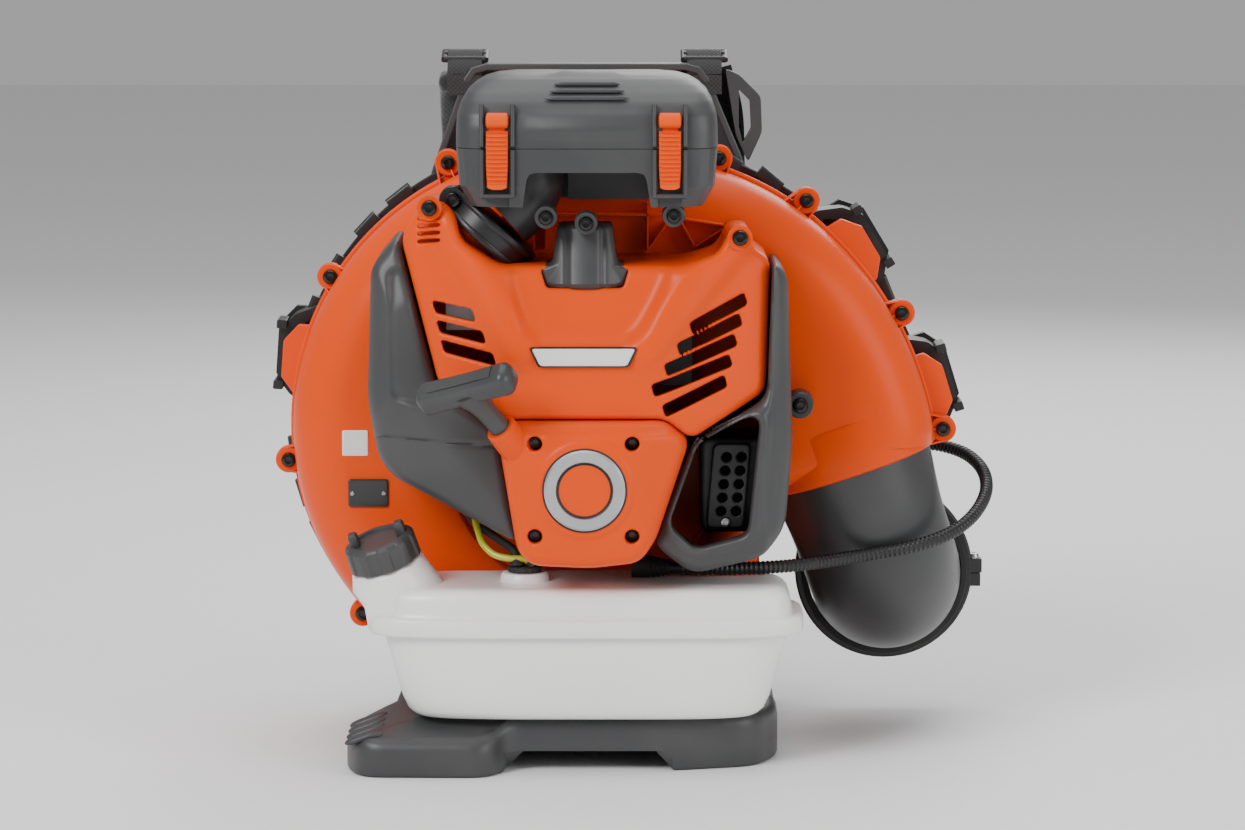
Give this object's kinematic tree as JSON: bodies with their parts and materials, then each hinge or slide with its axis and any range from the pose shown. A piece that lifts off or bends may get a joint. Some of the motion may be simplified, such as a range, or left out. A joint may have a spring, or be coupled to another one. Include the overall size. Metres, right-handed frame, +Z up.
{
  "type": "backpack leaf blower",
  "caption": "Backpack leaf blower: two-stroke engine and scroll fan on a moulded base and back frame, with fuel tank, air filter box, outlet elbow and padded harness.",
  "frame": {"origin": "on the standing surface, at the middle of the footprint of the whole machine without its throttle cable", "axes": "+Z up; the engine faces -Y and the wearer's back is on +Y; the air outlet elbow is on +X"},
  "size_m": [0.5182, 0.4152, 0.483],
  "materials": {
    "orange_plastic": "moulded, semi-gloss",
    "grey_plastic": "moulded with a fine spark-eroded grain",
    "black_plastic": "moulded, satin",
    "black_paint": "heat-proof satin paint on sheet steel",
    "tank_plastic": "blow-moulded translucent white, fine grain",
    "steel": "machined",
    "aluminium": "die cast",
    "rubber": "black rubber",
    "clear_hose": "clear yellow-green fuel hose",
    "cable_sleeve": "ribbed black conduit",
    "harness_fabric": "woven nylon over foam",
    "rope": "braided nylon rope",
    "filter_paper": "pleated paper",
    "silver_trim": "satin metallic trim"
  },
  "bodies": {
    "root": {"fan_housing_front": "orange_plastic", "fan_housing_back": "orange_plastic", "engine_cover": "orange_plastic", "starter_cover": "orange_plastic", "side_cover_left": "grey_plastic", "side_cover_right": "grey_plastic", "snorkel_cover": "grey_plastic", "filter_base": "grey_plastic", "intake_duct": "grey_plastic", "outlet_elbow": "grey_plastic", "base_foot": "grey_plastic", "back_frame": "grey_plastic", "side_grip": "grey_plastic", "intake_guard": "black_plastic", "ignition_coil": "black_plastic", "duct_clamp": "black_plastic", "hose_clamp": "black_plastic", "top_buckle_left": "black_plastic", "top_buckle_right": "black_plastic", "cable_gland": "black_plastic", "cable_socket": "black_plastic", "rating_plate": "black_plastic", "muffler": "black_paint", "tank_lower": "tank_plastic", "tank_upper": "tank_plastic", "crank_bearing_front": "steel", "crank_bearing_rear": "steel", "spark_plug": "steel", "recoil_spring": "steel", "crankcase": "aluminium", "cylinder": "aluminium", "carburettor": "aluminium", "outlet_seal": "rubber", "tank_grommet": "rubber", "vibration_mount_1": "rubber", "vibration_mount_2": "rubber", "vibration_mount_3": "rubber", "vibration_mount_4": "rubber", "fuel_hose": "rubber", "return_hose": "clear_hose", "throttle_cable": "cable_sleeve", "back_pad": "harness_fabric", "lumbar_pad": "harness_fabric", "shoulder_strap_left": "harness_fabric", "shoulder_strap_right": "harness_fabric", "hip_pad_left": "harness_fabric", "hip_pad_right": "harness_fabric", "filter_element": "filter_paper", "emblem_ring": "silver_trim"},
    "rotor": {"crankshaft": "steel", "impeller": "black_plastic", "flywheel": "aluminium"},
    "piston": {"piston": "aluminium"},
    "starter_pulley": {"recoil_pulley": "black_plastic"},
    "starter_grip": {"starter_grip": "grey_plastic", "starter_rope": "rope"},
    "filter_lid": {"filter_lid": "grey_plastic"},
    "latch_left": {"latch_left": "orange_plastic"},
    "latch_right": {"latch_right": "orange_plastic"},
    "fuel_cap": {"fuel_cap": "grey_plastic"}
  },
  "joints": [
    {"name": "rotor_spin", "type": "hinge", "parent": "root", "child": "rotor", "pos_m": [-0.03153, 0.01142, 0.205], "axis": [0, 1, 0], "continuous": true},
    {"name": "piston_travel", "type": "slide", "parent": "root", "child": "piston", "axis": [0, 0, 1], "range_m": [-0.034, 0]},
    {"name": "starter_pull", "type": "slide", "parent": "root", "child": "starter_grip", "axis": [-0.5101, -0.5201, 0.6851], "range_m": [0, 0.8], "stiffness_N_per_m": 12, "springref_m": -0.5},
    {"name": "starter_pulley_turn", "type": "hinge", "parent": "root", "child": "starter_pulley", "pos_m": [-0.03153, -0.14258, 0.205], "axis": [0, 1, 0], "range_deg": [0, 1530]},
    {"name": "filter_lid_lift", "type": "slide", "parent": "root", "child": "filter_lid", "axis": [0, 0, 1], "range_m": [0, 0.1]},
    {"name": "latch_left_flip", "type": "hinge", "parent": "filter_lid", "child": "latch_left", "pos_m": [-0.08993, -0.15858, 0.448], "axis": [-1, 0, 0], "range_deg": [0, 110]},
    {"name": "latch_right_flip", "type": "hinge", "parent": "filter_lid", "child": "latch_right", "pos_m": [0.02577, -0.15858, 0.448], "axis": [-1, 0, 0], "range_deg": [0, 110]},
    {"name": "fuel_cap_turn", "type": "hinge", "parent": "root", "child": "fuel_cap", "pos_m": [-0.16853, -0.10458, 0.142], "axis": [-0.289, -0.2392, 0.9269], "range_deg": [0, 330]}
  ],
  "couplings": [
    {"joint": "starter_pulley_turn", "follows": "starter_pull", "rad_per_m": 33.333}
  ]
}
